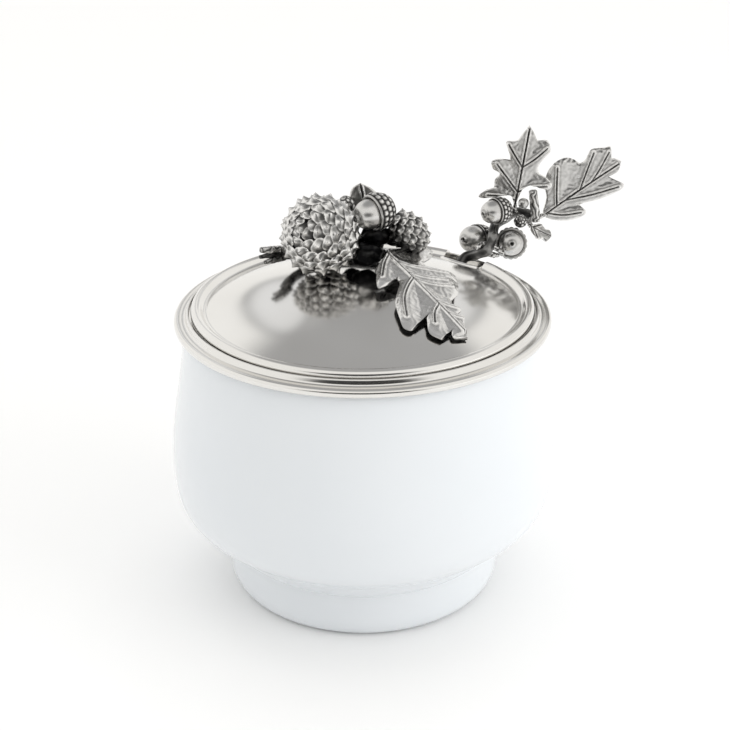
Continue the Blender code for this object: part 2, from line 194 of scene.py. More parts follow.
def turned(profile, steps):
    """Surface of revolution: each (radius, height) carried once round Z. The
    first column is repeated at the end, so that the seam closes."""
    turn = np.linspace(0.0, 2.0 * math.pi, steps, endpoint=False)
    turn = np.append(turn, 0.0)
    r, z = np.asarray(profile, float).T
    return np.stack([r[:, None] * np.cos(turn), r[:, None] * np.sin(turn),
                     np.repeat(z[:, None], len(turn), 1)], -1)


def piece(name, grids, material, body, nodes=(), relief=None, crease=40.0):
    """A closed mesh from grids of points in millimetres.

    Each grid runs from pole to pole, or round a ring, and its columns close on
    themselves. Points that coincide are one vertex. A grid whose enclosed
    volume comes out negative is turned round, so that all faces point outwards.
    """
    quads, start = [], 0
    for grid in grids:
        rows, cols = grid.shape[:2]
        index = start + np.arange(rows * cols).reshape(rows, cols)
        face = np.stack([index[:-1, :-1], index[:-1, 1:], index[1:, 1:], index[1:, :-1]],
                        -1).reshape(-1, 4)
        flat = grid.reshape(-1, 3)
        a, b, c, d = (flat[face[:, i] - start] for i in range(4))
        volume = (np.einsum("ij,ij->i", a, np.cross(b, c))
                  + np.einsum("ij,ij->i", a, np.cross(c, d))).sum()
        quads.append(face if volume > 0.0 else face[:, ::-1])
        start += rows * cols
    places = np.vstack([grid.reshape(-1, 3) for grid in grids])
    quads = np.vstack(quads)
    _, first, merged = np.unique(np.round(places * 1.0e4).astype(np.int64), axis=0,
                                 return_index=True, return_inverse=True)
    quads = merged.reshape(-1)[quads]
    step = quads != np.roll(quads, -1, axis=1)
    whole = quads[step.all(1)].tolist()
    thin = [row[keep].tolist() for row, keep in
            zip(quads[step.sum(1) == 3], step[step.sum(1) == 3])]
    mesh = bpy.data.meshes.new(name)
    mesh.from_pydata((places[first] * MM).tolist(), [], whole + thin)
    if relief is not None:
        height = np.concatenate([np.ravel(part) for part in relief])[first]
        mesh.attributes.new("relief", "FLOAT", "POINT").data.foreach_set(
            "value", height.astype(np.float32))
    mesh.shade_smooth()
    mesh.set_sharp_from_angle(angle=math.radians(crease))
    mesh.materials.append(material)
    obj = bpy.data.objects.new(name, mesh)
    bpy.context.scene.collection.objects.link(obj)
    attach(obj, body)
    if nodes:
        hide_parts(*nodes)
    return obj


def finish_of(name, colour, roughness, metallic):
    """A new Principled material: (material, its nodes, its links, the shader)."""
    material = bpy.data.materials.new(name)
    material.use_nodes = True
    nodes, links = material.node_tree.nodes, material.node_tree.links
    shader = nodes["Principled BSDF"]
    shader.inputs["Base Color"].default_value = colour
    shader.inputs["Roughness"].default_value = roughness
    shader.inputs["Metallic"].default_value = metallic
    return material, nodes, links, shader


def speckle_group():
    """Soft mottling of two noises in the object's own space: a broad one and a
    fine one, each from 0 to 1."""
    group = bpy.data.node_groups.new("mottling", "ShaderNodeTree")
    for label, kind in (("Broad per metre", "NodeSocketFloat"),
                        ("Fine per metre", "NodeSocketFloat")):
        group.interface.new_socket(label, in_out="INPUT", socket_type=kind)
    for label in ("Broad", "Fine"):
        group.interface.new_socket(label, in_out="OUTPUT", socket_type="NodeSocketFloat")
    inside = group.nodes.new("NodeGroupInput")
    outside = group.nodes.new("NodeGroupOutput")
    where = group.nodes.new("ShaderNodeTexCoord")
    for label, detail in (("Broad", 2.0), ("Fine", 4.0)):
        noise = group.nodes.new("ShaderNodeTexNoise")
        noise.inputs["Detail"].default_value = detail
        group.links.new(where.outputs["Object"], noise.inputs["Vector"])
        group.links.new(inside.outputs[label + " per metre"], noise.inputs["Scale"])
        group.links.new(noise.outputs["Fac"], outside.inputs[label])
    return group


MOTTLING = speckle_group()


def add_mottling(nodes, broad, fine):
    """Places the mottling group in a material."""
    mottling = nodes.new("ShaderNodeGroup")
    mottling.node_tree = MOTTLING
    mottling.inputs["Broad per metre"].default_value = broad
    mottling.inputs["Fine per metre"].default_value = fine
    return mottling


def ramp(nodes, links, source, *stops):
    """A colour ramp fed by source; each stop is (position, colour)."""
    band = nodes.new("ShaderNodeValToRGB")
    elements = band.color_ramp.elements
    elements[0].position, elements[0].color = stops[0]
    elements[1].position, elements[1].color = stops[-1]
    for position, colour in stops[1:-1]:
        elements.new(position).color = colour
    links.new(source, band.inputs["Fac"])
    return band.outputs["Color"]


def span(nodes, links, source, low, high):
    """Source, from 0 to 1, spread over low to high."""
    spread = nodes.new("ShaderNodeMapRange")
    spread.inputs["To Min"].default_value = low
    spread.inputs["To Max"].default_value = high
    links.new(source, spread.inputs["Value"])
    return spread.outputs["Result"]


def bump(nodes, links, shader, height, strength, distance):
    """Feeds height to the shader's normal."""
    node = nodes.new("ShaderNodeBump")
    node.inputs["Strength"].default_value = strength
    node.inputs["Distance"].default_value = distance
    links.new(height, node.inputs["Height"])
    links.new(node.outputs["Normal"], shader.inputs["Normal"])


glaze, nodes, links, shader = finish_of("white_glaze", GLAZE_COLOUR, 0.22, 0.0)
shader.inputs["Coat Weight"].default_value = 0.35
shader.inputs["Coat Roughness"].default_value = 0.06
shader.inputs["Specular IOR Level"].default_value = 0.45
mottling = add_mottling(nodes, 28.0, 420.0)
links.new(ramp(nodes, links, mottling.outputs["Broad"],
               (0.3, (0.790, 0.824, 0.858, 1.0)), (0.7, (0.812, 0.842, 0.872, 1.0))),
          shader.inputs["Base Color"])
links.new(span(nodes, links, mottling.outputs["Fine"], 0.16, 0.28), shader.inputs["Roughness"])
bump(nodes, links, shader, mottling.outputs["Broad"], 0.12, 0.0006)

pot_foot = curve_through([(0.0, 0.0), (16.0, 0.0), (32.5, 0.0)], 6)
pot_edge = curve_through([(33.4, 0.0), (35.6, 0.55), (37.1, 2.0), (37.75, 4.2), (37.8, 6.5)], 16)
pot_side = curve_through([(37.7, 9.0), (37.6, 12.0), (37.85, 15.0), (39.4, 17.2), (42.8, 19.4),
                          (47.0, 22.2), (50.2, 25.7), (51.7, 30.0), (52.2, 36.5), (52.1, 43.0),
                          (51.4, 50.0), (50.1, 58.0), (48.8, 66.0), (47.5, 75.0)], 110)
pot_rim = curve_through([(47.3, 76.3), (46.9, 77.0), (46.2, 77.3), (44.9, 77.3),
                         (44.1, 77.1), (43.8, 76.4)], 14)
pot_inside = curve_through([(MOUTH_RADIUS, 74.0), (MOUTH_RADIUS, 71.0), (44.3, 66.0),
                            (51.4 - WALL, 50.0), (52.2 - WALL, 36.0), (44.6, 23.0),
                            (40.5, 16.0), (34.0, 11.0), (24.0, 9.0), (10.0, 8.9), (0.0, 8.9)], 70)
pot_profile = np.vstack([pot_foot, pot_edge, pot_side, pot_rim, pot_inside])
pot_profile[-1, 0] = 0.0
piece("stoneware_pot", [turned(pot_profile, POT_STEPS)], glaze, "pot",
      ["stoneware_bowl"], crease=60.0)


# --------------------------------------------------------------- pewter collar
# Spun from pewter sheet: a rolled outer lip, a hollow sloping flange, a seat
# for the lid and a neck that is cemented into the pot's mouth.

METAL_STEPS = 384
POLISH_COLOUR = (0.80, 0.785, 0.76, 1.0)

polish, nodes, links, shader = finish_of("polished_pewter", POLISH_COLOUR, 0.1, 1.0)
mottling = add_mottling(nodes, 35.0, 900.0)
links.new(span(nodes, links, mottling.outputs["Broad"], 0.10, 0.18), shader.inputs["Roughness"])
links.new(ramp(nodes, links, mottling.outputs["Broad"],
               (0.3, (0.76, 0.745, 0.72, 1.0)), (0.7, (0.82, 0.81, 0.79, 1.0))),
          shader.inputs["Base Color"])
bump(nodes, links, shader, mottling.outputs["Fine"], 0.06, 0.00004)

collar_flange = curve_through([(46.0, 79.4), (46.0, 80.1), (46.15, 80.4), (46.4, 80.45),
                               (46.62, 80.3), (46.85, 79.8), (47.05, 79.3), (47.3, 79.05),
                               (47.8, 79.0), (48.5, 79.02), (49.1, 79.0), (49.55, 78.85),
                               (49.85, 78.5), (49.98, 78.0), (49.85, 77.35), (49.5, 76.9),
                               (49.0, 76.72), (48.4, 76.9), (48.0, 77.35), (47.7, 77.65)], 90)
collar_neck = curve_through([(43.4, 77.7), (43.3, 77.4), (43.3, 71.2), (43.1, 70.8),
                             (42.6, 70.8), (42.4, 71.1), (42.4, 78.7), (42.55, 79.1),
                             (43.0, 79.3), (45.7, 79.3), (46.0, 79.4)], 60)
collar = np.vstack([collar_flange, collar_neck])
piece("pewter_collar", [turned(collar, METAL_STEPS)], polish, "pot",
      ["rim_collar"])


# ------------------------------------------------------------------ domed lid
# A spun dome with a raised bead at its edge. A round notch is cut in the back
# of the edge for the spoon, with a burred lip, and a short skirt is soldered
# underneath to keep the lid centred.

DOME_SPHERE = 111.9
DOME_APEX = 88.6
LID_THICKNESS = 1.4
NOTCH_AZIMUTH = math.radians(47.0)
NOTCH_CENTRE, NOTCH_RADIUS = 43.4, 7.0


def dome(x, y):
    """Height of the dome's top: a sphere's cap, falling away from the apex."""
    return DOME_APEX - DOME_SPHERE + np.sqrt(DOME_SPHERE ** 2 - x * x - y * y)


def notch_limit(turn):
    """How far from the axis the lid reaches at an azimuth: to the near side of
    the notch's circle where the ray meets it, and without limit elsewhere."""
    off = np.angle(np.exp(1j * (turn - NOTCH_AZIMUTH)))
    across = NOTCH_CENTRE * np.sin(off)
    meets = (np.abs(across) < NOTCH_RADIUS) & (np.cos(off) > 0.0)
    depth = np.sqrt(np.where(meets, NOTCH_RADIUS ** 2 - across ** 2, 0.0))
    return np.where(meets, NOTCH_CENTRE * np.cos(off) - depth, 1.0e3)


def notched(profile):
    """The turned profile, with every point past the notch's edge drawn back to
    it, at the height of the face that it belongs to."""
    limit_angle = math.asin(NOTCH_RADIUS / NOTCH_CENTRE)
    fine = NOTCH_AZIMUTH + np.linspace(-0.9995, 0.9995, 61) * limit_angle
    coarse = np.linspace(NOTCH_AZIMUTH + 1.0005 * limit_angle,
                         NOTCH_AZIMUTH + 2.0 * math.pi - 1.0005 * limit_angle, 340)
    turn = np.concatenate([fine, coarse, fine[:1]])
    profile = np.asarray(profile, float)
    r, z = profile[:, 0], profile[:, 1]
    edge = int(np.argmax(r))
    limit = notch_limit(turn)[None, :]
    radius = np.minimum(r[:, None], limit)
    top = np.interp(radius, r[:edge + 1], z[:edge + 1])
    under = np.interp(radius, r[edge:][::-1], z[edge:][::-1])
    upper = (np.arange(len(r)) <= edge)[:, None]
    height = np.where(r[:, None] > limit, np.where(upper, top, under), z[:, None])
    return np.stack([radius * np.cos(turn), radius * np.sin(turn), height], -1)


dome_r = np.linspace(0.0, 40.6, 46)
lid_top = np.stack([dome_r, dome(dome_r, 0.0)], 1)
lid_bead = curve_through([(40.9, 80.86), (41.5, 80.62), (42.1, 80.75), (42.6, 81.2),
                          (43.1, 81.7), (43.7, 82.0), (44.3, 82.02), (44.9, 81.7),
                          (45.3, 81.2), (45.48, 80.5), (45.5, 79.9)], 60)
lid_under = curve_through([(45.3, 79.65), (44.8, 79.6), (42.4, 79.6), (41.6, 79.45),
                           (40.8, 79.5)], 12)
lid_hollow = np.stack([dome_r, dome(dome_r, 0.0) - LID_THICKNESS], 1)[::-2]
lid_profile = np.vstack([lid_top, lid_bead, lid_under, lid_hollow])
lid_profile[-1, 0] = 0.0
piece("lid_dome", [notched(lid_profile)], polish, "lid", ["lid_plate"])

skirt = curve_through([(41.8, 78.9), (41.5, 79.2), (40.9, 79.2), (40.6, 78.9), (40.6, 72.8),
                       (40.9, 72.5), (41.5, 72.5), (41.8, 72.8), (41.8, 78.9)], 48)
skirt_gap = math.asin(NOTCH_RADIUS / 41.2) + 0.02
skirt_turn = np.linspace(NOTCH_AZIMUTH + skirt_gap,
                         NOTCH_AZIMUTH + 2.0 * math.pi - skirt_gap, 300)
skirt_wall = np.stack([skirt[:, :1].T * np.cos(skirt_turn)[:, None],
                       skirt[:, :1].T * np.sin(skirt_turn)[:, None],
                       np.repeat(skirt[:, 1][None], 300, 0)], -1)
skirt_ends = [np.repeat(skirt_wall[i].mean(0)[None, None], skirt_wall.shape[1], 1)
              for i in (0, -1)]
piece("lid_skirt", [np.vstack([skirt_ends[0], skirt_wall, skirt_ends[1]])], polish, "lid",
      ["lid_locating_ring"])


def tube(path, radius, sides, ridges=None):
    """A round wire: circles of the given radius set square to a path, with the
    frame carried along so that it doesn't twist; its ends are closed by poles.
    ridges(turn, share) scales the radius round and along the wire."""
    path = np.asarray(path, float)
    ahead = np.gradient(path, axis=0)
    ahead /= np.linalg.norm(ahead, axis=1)[:, None]
    side = np.empty_like(ahead)
    guide = np.cross(ahead[0], (0.0, 0.0, 1.0))
    if np.linalg.norm(guide) < 0.1:
        guide = np.cross(ahead[0], (1.0, 0.0, 0.0))
    for i, tangent in enumerate(ahead):
        guide = guide - tangent * guide.dot(tangent)
        guide /= np.linalg.norm(guide)
        side[i] = guide
    up = np.cross(ahead, side)
    turn = np.append(np.linspace(0.0, 2.0 * math.pi, sides, endpoint=False), 0.0)
    share = np.linspace(0.0, 1.0, len(path))
    radius = np.broadcast_to(np.asarray(radius, float), len(path))[:, None]
    swell = 1.0 if ridges is None else ridges(turn[None, :], share[:, None])
    reach = radius * swell * np.ones_like(turn)[None, :]
    ring = (path[:, None] + reach[..., None] * (np.cos(turn)[None, :, None] * side[:, None]
                                                + np.sin(turn)[None, :, None] * up[:, None]))
    ends = [np.repeat(path[i][None, None], sides + 1, 1) for i in (0, -1)]
    return np.vstack([ends[0], ring, ends[1]]), reach / radius


lip_off = np.linspace(-0.93, 0.93, 70) * math.asin(NOTCH_RADIUS / NOTCH_CENTRE)
LIP_RADIUS, LIP_SINK = 0.75, 0.25
lid_upper = lid_profile[:len(lid_top) + len(lid_bead)]
lip_r = notch_limit(NOTCH_AZIMUTH + lip_off)
lip_z = np.interp(lip_r, lid_upper[:, 0], lid_upper[:, 1]) - LIP_SINK
lip_path = np.stack([lip_r * np.cos(NOTCH_AZIMUTH + lip_off),
                     lip_r * np.sin(NOTCH_AZIMUTH + lip_off), lip_z], 1)
piece("notch_lip", [tube(lip_path, LIP_RADIUS, 16)[0]], polish, "lid")


# ------------------------------------------------------------------ pine cone
# Cast solid: overlapping woody scales on an egg-shaped core, set along spirals
# a golden angle apart. Each scale is a thick tongue with a keel and a boss.
# The casting is blackened and its high spots are buffed bright. Scales that
# face away from a fixed direction are also painted darker: painted shade.

CONE_CENTRE = np.array((-11.0, 4.0, 98.5))
GOLDEN_ANGLE = math.pi * (3.0 - math.sqrt(5.0))


def patina_group():
    """Blackening left in a casting's recesses: the relief, roughened by noise,
    gives the colour from black to bright metal, the roughness and a height."""
    group = bpy.data.node_groups.new("patina", "ShaderNodeTree")
    group.interface.new_socket("Relief", in_out="INPUT", socket_type="NodeSocketFloat")
    group.interface.new_socket("Grain per metre", in_out="INPUT", socket_type="NodeSocketFloat")
    group.interface.new_socket("Color", in_out="OUTPUT", socket_type="NodeSocketColor")
    for label in ("Roughness", "Height"):
        group.interface.new_socket(label, in_out="OUTPUT", socket_type="NodeSocketFloat")
    inside = group.nodes.new("NodeGroupInput")
    outside = group.nodes.new("NodeGroupOutput")
    where = group.nodes.new("ShaderNodeTexCoord")
    noise = group.nodes.new("ShaderNodeTexNoise")
    noise.inputs["Detail"].default_value = 5.0
    group.links.new(where.outputs["Object"], noise.inputs["Vector"])
    group.links.new(inside.outputs["Grain per metre"], noise.inputs["Scale"])
    shift = group.nodes.new("ShaderNodeMath")
    shift.operation = "MULTIPLY_ADD"
    shift.inputs[1].default_value = 0.3
    shift.inputs[2].default_value = -0.15
    group.links.new(noise.outputs["Fac"], shift.inputs[0])
    total = group.nodes.new("ShaderNodeMath")
    total.operation = "ADD"
    total.use_clamp = True
    group.links.new(inside.outputs["Relief"], total.inputs[0])
    group.links.new(shift.outputs["Value"], total.inputs[1])
    group.links.new(ramp(group.nodes, group.links, total.outputs["Value"],
                         (0.0, (0.012, 0.012, 0.013, 1.0)), (0.3, (0.10, 0.098, 0.095, 1.0)),
                         (0.55, (0.40, 0.395, 0.385, 1.0)), (0.9, (0.80, 0.79, 0.775, 1.0))),
                    outside.inputs["Color"])
    group.links.new(span(group.nodes, group.links, total.outputs["Value"], 0.5, 0.2),
                    outside.inputs["Roughness"])
    group.links.new(noise.outputs["Fac"], outside.inputs["Height"])
    return group


PATINA = patina_group()


def antiqued(name, grain, strength):
    """Cast pewter, blackened and buffed, for a piece with a relief attribute."""
    material, nodes, links, shader = finish_of(name, (0.5, 0.49, 0.48, 1.0), 0.3, 1.0)
    relief = nodes.new("ShaderNodeAttribute")
    relief.attribute_name = "relief"
    patina = nodes.new("ShaderNodeGroup")
    patina.node_tree = PATINA
    patina.inputs["Grain per metre"].default_value = grain
    links.new(relief.outputs["Fac"], patina.inputs["Relief"])
    links.new(patina.outputs["Color"], shader.inputs["Base Color"])
    links.new(patina.outputs["Roughness"], shader.inputs["Roughness"])
    bump(nodes, links, shader, patina.outputs["Height"], strength, 0.00012)
    return material


cone_pewter = antiqued("antiqued_cone", 900.0, 0.35)


def frame_on(axis):
    """Three unit vectors as rows: two square to the axis, then the axis."""
    axis = np.asarray(axis, float) / np.linalg.norm(axis)
    side = np.cross((0.0, 0.0, 1.0), axis)
    side /= np.linalg.norm(side)
    return np.array([side, np.cross(axis, side), axis])


def cone_of_scales(axis, length, width, count, scale_width, scale_length, lift, painted_light_from):
    """Overlapping scales on an egg, in its own axes turned to the world's.

    Scale i of count sits at a height that shares the surface evenly, a golden
    angle on from the last, and lies towards the egg's tip with its free end
    lifted. v runs from root to free end and u across; the section is a flat
    oval, widest at two thirds, with a keel along it and a boss near its end.
    Scales bend with the egg and get smaller towards its tip. Those that face
    away from the last argument, a fixed direction, have less bright relief:
    painted shade, as if lit from that direction, whatever the light.
    """
    rows, cols = 17, 20
    rng = np.random.default_rng(11)
    number = np.arange(count) + 0.5
    polar = np.arccos(1.0 - 1.93 * number / count)
    turn = number * GOLDEN_ANGLE + rng.normal(0.0, 0.05, count)
    half = np.array((width, width, length)) / 2.0
    core = 0.88
    direction = np.stack([np.sin(polar) * np.cos(turn), np.sin(polar) * np.sin(turn),
                          np.cos(polar)], 1)
    root = direction * half * core
    outward = direction / half
    outward /= np.linalg.norm(outward, axis=1)[:, None]
    to_tip = np.stack([-np.cos(polar) * np.cos(turn), -np.cos(polar) * np.sin(turn),
                       np.sin(polar)], 1)
    to_tip += 0.12 * rng.normal(size=(count, 3))
    to_tip -= outward * np.einsum("ij,ij->i", to_tip, outward)[:, None]
    to_tip /= np.linalg.norm(to_tip, axis=1)[:, None]
    across = np.cross(outward, to_tip)
    v = np.linspace(0.0, 1.0, rows)[:, None]
    around = np.append(np.linspace(0.0, 2.0 * math.pi, cols, endpoint=False), 0.0)[None, :]
    breadth = np.where(v < 0.66, np.sin(0.5 * math.pi * (v / 0.66) ** 0.7),
                       np.sqrt(1.0 - np.clip((v - 0.66) / 0.34, 0.0, 1.0) ** 2.8))
    u = np.sign(np.cos(around)) * np.abs(np.cos(around)) ** 0.75 * breadth
    above = np.sign(np.sin(around)) * np.abs(np.sin(around)) ** 0.6
    top = above > 0.0
    keel = np.exp(-(u / 0.16) ** 2) * np.clip(v * 2.2 - 0.5, 0.0, 1.0)
    boss = np.exp(-((u / 0.26) ** 2 + ((v - 0.72) / 0.13) ** 2))
    ridge = np.exp(-((v - 0.72) / 0.08) ** 2) * (1.0 - np.abs(u))
    face = above * breadth * (0.12 + 0.06 * v) + top * (0.05 * keel + 0.13 * boss + 0.05 * ridge)
    tier = (0.60 + 0.40 * np.sin(np.minimum(polar, 1.45))) * rng.normal(1.0, 0.05, count)
    tier = tier.reshape(count, 1, 1, 1)
    along = ((v - 0.45) * scale_length * np.ones_like(around))[None, ..., None]
    sideways = (u * scale_width / 2.0)[None, ..., None]
    rise = (face * scale_width + lift * (v - 0.2))[None, ..., None]
    rise = rise - (along ** 2 + sideways ** 2) / width
    vectors = [w[:, None, None, :] for w in (to_tip, across, outward)]
    bodies = (root[:, None, None, :] + tier * (along * vectors[0] + sideways * vectors[1]
                                               + rise * vectors[2]))
    rim = np.clip((np.abs(u) / np.maximum(breadth, 0.05) - 0.72) / 0.28, 0.0, 1.0)
    rim = np.maximum(rim * np.clip(3.0 * v - 1.1, 0.0, 1.0), np.clip((v - 0.86) / 0.14, 0.0, 1.0))
    shine = np.where(top, 0.46 * v ** 0.8 + 0.2 * keel + 0.6 * boss + 0.2 * ridge + 0.7 * rim,
                     0.2 * rim)
    world = frame_on(axis)
    # Painted shade: relief is dimmed on scales that face away from a fixed direction.
    painted_light_factor = np.clip(1.0 + (outward @ world) @ np.asarray(painted_light_from), 0.05, 1.0)
    egg_polar = np.linspace(0.0, math.pi, 25)
    egg = turned(np.stack([np.sin(egg_polar) * half[0], np.cos(egg_polar) * half[2]], 1)
                 * core, 48)
    grids = [body @ world for body in bodies] + [egg @ world]
    relief = [np.clip(shine, 0.0, 1.0) * share for share in painted_light_factor] + [np.zeros(egg.shape[:2])]
    return grids, relief


# Pine cone: painted shade on scales that face down and towards the back.
grids, relief = cone_of_scales((-0.52, -0.72, 0.40), 20.2, 20.6, 104, 4.9, 5.2, 0.6,
                               (0.1, -0.2, 0.3))
piece("pine_cone_cast", [CONE_CENTRE + grid for grid in grids], cone_pewter, "lid",
      ["pine_cone"], relief)
YOUNG_CONE = np.array((12.4, 8.0, 97.9))
# Young cone: its lower left side is painted near black, a painted shadow under it.
grids, relief = cone_of_scales((0.69, -0.35, -0.64), 13.0, 9.0, 56, 3.1, 3.4, 0.4,
                               (0.65, 0.0, 0.65))
piece("young_cone_cast", [YOUNG_CONE + grid for grid in grids], cone_pewter, "lid",
      ["cone_piece"], relief)


# The lump of casting metal that the cone, the acorn and the leaf stand on is
# hidden between them; it is painted nearly black, as painted shade there.
BED_LUMPS = (((1.0, 6.2, 92.3), (4.6, 3.6, 3.4)), ((3.6, 9.4, 96.6), (4.2, 2.6, 3.0)),
             ((9.4, 10.4, 95.6), (4.4, 2.2, 2.6)), ((-3.0, 10.0, 93.4), (3.6, 2.6, 4.0)))
bed_polar = np.linspace(0.0, math.pi, 40)
bed_grids, bed_painted_shade = [], []
for middle, halves in BED_LUMPS:
    ball = turned(np.stack([np.sin(bed_polar), np.cos(bed_polar)], 1), 64)
    lumps = (np.sin(5.9 * ball[..., 0] + middle[0]) * np.sin(6.3 * ball[..., 2])
             + np.sin(7.7 * ball[..., 1] + 4.3 * ball[..., 2]))
    ball = ball * (1.0 - 0.05 * (1.2 - lumps[..., None])) * halves
    bed_grids.append(ball + middle)
    # Relief near zero, so the lump is painted nearly black: painted shade.
    bed_painted_shade.append(np.clip(0.02 + 0.05 * lumps, 0.0, 1.0))
piece("cluster_bed_cast", bed_grids, cone_pewter, "lid",
      ["cluster_bed"], bed_painted_shade)


# -------------------------------------------------------------- acorns and buds
# Each acorn is a smooth nut with a small point, set in a cup whose outside is
# covered with rows of knobs. Buds are plain drops. All are cast and soldered on.

nut_pewter = antiqued("buffed_nut", 350.0, 0.10)
cup_pewter = antiqued("knobbed_cup", 900.0, 0.3)


def placed(grid, place, direction):
    """The grid with its Z turned to a direction and its origin set at a place."""
    return np.asarray(place) + grid @ frame_on(direction)


def acorn(prefix, place, direction, size, nodes, cup_size):
    """A nut in its cup: place is the nut's middle, direction runs to its point.

    The nut is a turned oval with a ring and a pit at its point. The cup is a
    turned shell whose outside swells where the sines of 9 times the angle and
    5 times the height are both far from zero, every other row half a knob on.
    """
    r, c = size / 2.0, cup_size / 2.0
    share = np.linspace(0.0, 1.0, 90)
    body = np.stack([r * np.sin(math.pi * share) ** 0.72,
                     r * (1.06 * np.cos(math.pi * share) + 0.02)], 1)
    across = body[:, 0] / r
    front = share < 0.5
    body[:, 1] += r * front * (0.12 * np.exp(-((across - 0.20) / 0.09) ** 2)
                               - 0.16 * np.exp(-(across / 0.09) ** 2))
    body[0, 0] = body[-1, 0] = 0.0
    nut = turned(body, 72)
    pit = np.exp(-(across / 0.13) ** 2) + 0.3 * np.exp(-((across - 0.34) / 0.08) ** 2)
    shine = np.clip(0.74 - 0.70 * pit * front - 0.5 * (share > 0.56), 0.0, 1.0)
    shine = np.repeat(shine[:, None], nut.shape[1], 1)
    piece(prefix + "_nut_cast", [placed(nut, place, direction)], nut_pewter,
          "lid" if prefix.startswith("lid") else "spoon",
          [nodes + "_nut"], [shine])
    rim = curve_through([(r + 0.1, -0.55 * r), (r + 0.08, -0.26 * r), (r + 0.2, -0.16 * r),
                         (0.5 * (r + c) + 0.1, -0.10 * r), (c - 0.1, -0.20 * r)], 16)
    outer_share = np.linspace(0.0, 1.0, 44)
    outer = np.stack([c * np.cos(0.5 * math.pi * outer_share) ** 0.62,
                      -0.3 * r - 1.42 * r * np.sin(0.5 * math.pi * outer_share) ** 1.1], 1)
    outer[-1, 0] = 0.0
    hollow = curve_through([(0.0, -r - 0.4), (0.45 * r, -0.97 * r - 0.35),
                            (0.85 * r + 0.2, -0.68 * r - 0.25), (r + 0.1, -0.55 * r)], 14)
    shell = np.vstack([hollow[:-1], rim[:-1], outer])
    cup = turned(shell, 120)
    turn = np.append(np.linspace(0.0, 2.0 * math.pi, 120, endpoint=False), 0.0)[None, :]
    line = np.concatenate([np.full(len(shell) - 44, -1.0), outer_share])[:, None]
    row = line * 5.0
    knobs = (np.abs(np.sin(9.0 * turn + 0.5 * math.pi * np.floor(row)))
             * np.abs(np.sin(math.pi * row)))
    knobs = np.where(line >= 0.0, knobs ** 0.7 * np.cos(0.5 * math.pi * np.clip(line, 0, 1)) ** 0.3,
                     0.0)
    cup[..., :2] *= 1.0 + (knobs * 0.085 - 0.06 * (line >= 0.0))[..., None]
    edge = (line < 0.0) * 0.75
    piece(prefix + "_cup_cast", [placed(cup, place, direction)], cup_pewter,
          "lid" if prefix.startswith("lid") else "spoon",
          [nodes + "_cup"], [np.clip(knobs * 1.1 - 0.1 + edge, 0.0, 1.0)])


def bud(name, place, direction, radius, body, node, knobbly):
    """A drop with a pointed end; a knobbly one has bumps in staggered rows."""
    share = np.linspace(0.0, 1.0, 30)
    profile = np.stack([radius * np.sin(math.pi * share) * (1.0 - 0.25 * np.cos(math.pi * share)),
                        1.1 * radius * np.cos(math.pi * share) + 0.1 * radius], 1)
    profile[0, 0] = profile[-1, 0] = 0.0
    drop = turned(profile, 48)
    turn = np.append(np.linspace(0.0, 2.0 * math.pi, 48, endpoint=False), 0.0)[None, :]
    row = share[:, None] * 6.0
    bumps = np.abs(np.sin(4.0 * turn + 0.5 * math.pi * np.floor(row))
                   * np.sin(math.pi * row)) * knobbly
    drop[..., :2] *= 0.94 + 0.06 * bumps[..., None] / max(knobbly, 0.01)
    shine = np.clip(0.7 * (1.0 - knobbly) + bumps, 0.0, 1.0)
    piece(name, [placed(drop, place, direction)], cup_pewter, body,
          [node], [shine])


acorn("lid_acorn", (2.1, 5.4, 103.9), (-0.8, -0.55, -0.12), 8.0, "lid_acorn", 10.2)
acorn("left_acorn", (32.3, 41.0, 83.7), (-0.72, -0.62, 0.2), 8.0, "spoon_acorn_left", 8.8)
acorn("right_acorn", (42.7, 37.4, 83.7), (-0.05, -0.9, 0.3), 7.1, "spoon_acorn_right", 9.3)
acorn("top_acorn", (37.2, 36.6, 93.6), (-0.8, -0.55, 0.0), 6.6, "spoon_acorn_top", 8.0)
bud("lid_bud_cast", (-4.2, 13.6, 103.8), (-0.3, -0.4, 0.8), 2.3, "lid", "lid_bud", 0.8)
bud("spoon_bud_cast", (46.2, 41.6, 94.4), (0.1, -0.9, 0.4), 1.6, "spoon", "spoon_bud", 0.0)
bud("spoon_berry_cast", (45.5, 41.4, 89.1), (-0.1, -0.8, 0.6), 1.9, "spoon", "spoon_berry", 0.9)


# ------------------------------------------------------------------ oak leaves
# Cast leaves about a millimetre thick, with round lobes, a sunk midrib and side
# veins between raised shoulders, billowed panels and a rolled, buffed edge.

leaf_pewter = antiqued("antiqued_leaf", 700.0, 0.1)
LEAF_THICKNESS = 0.9


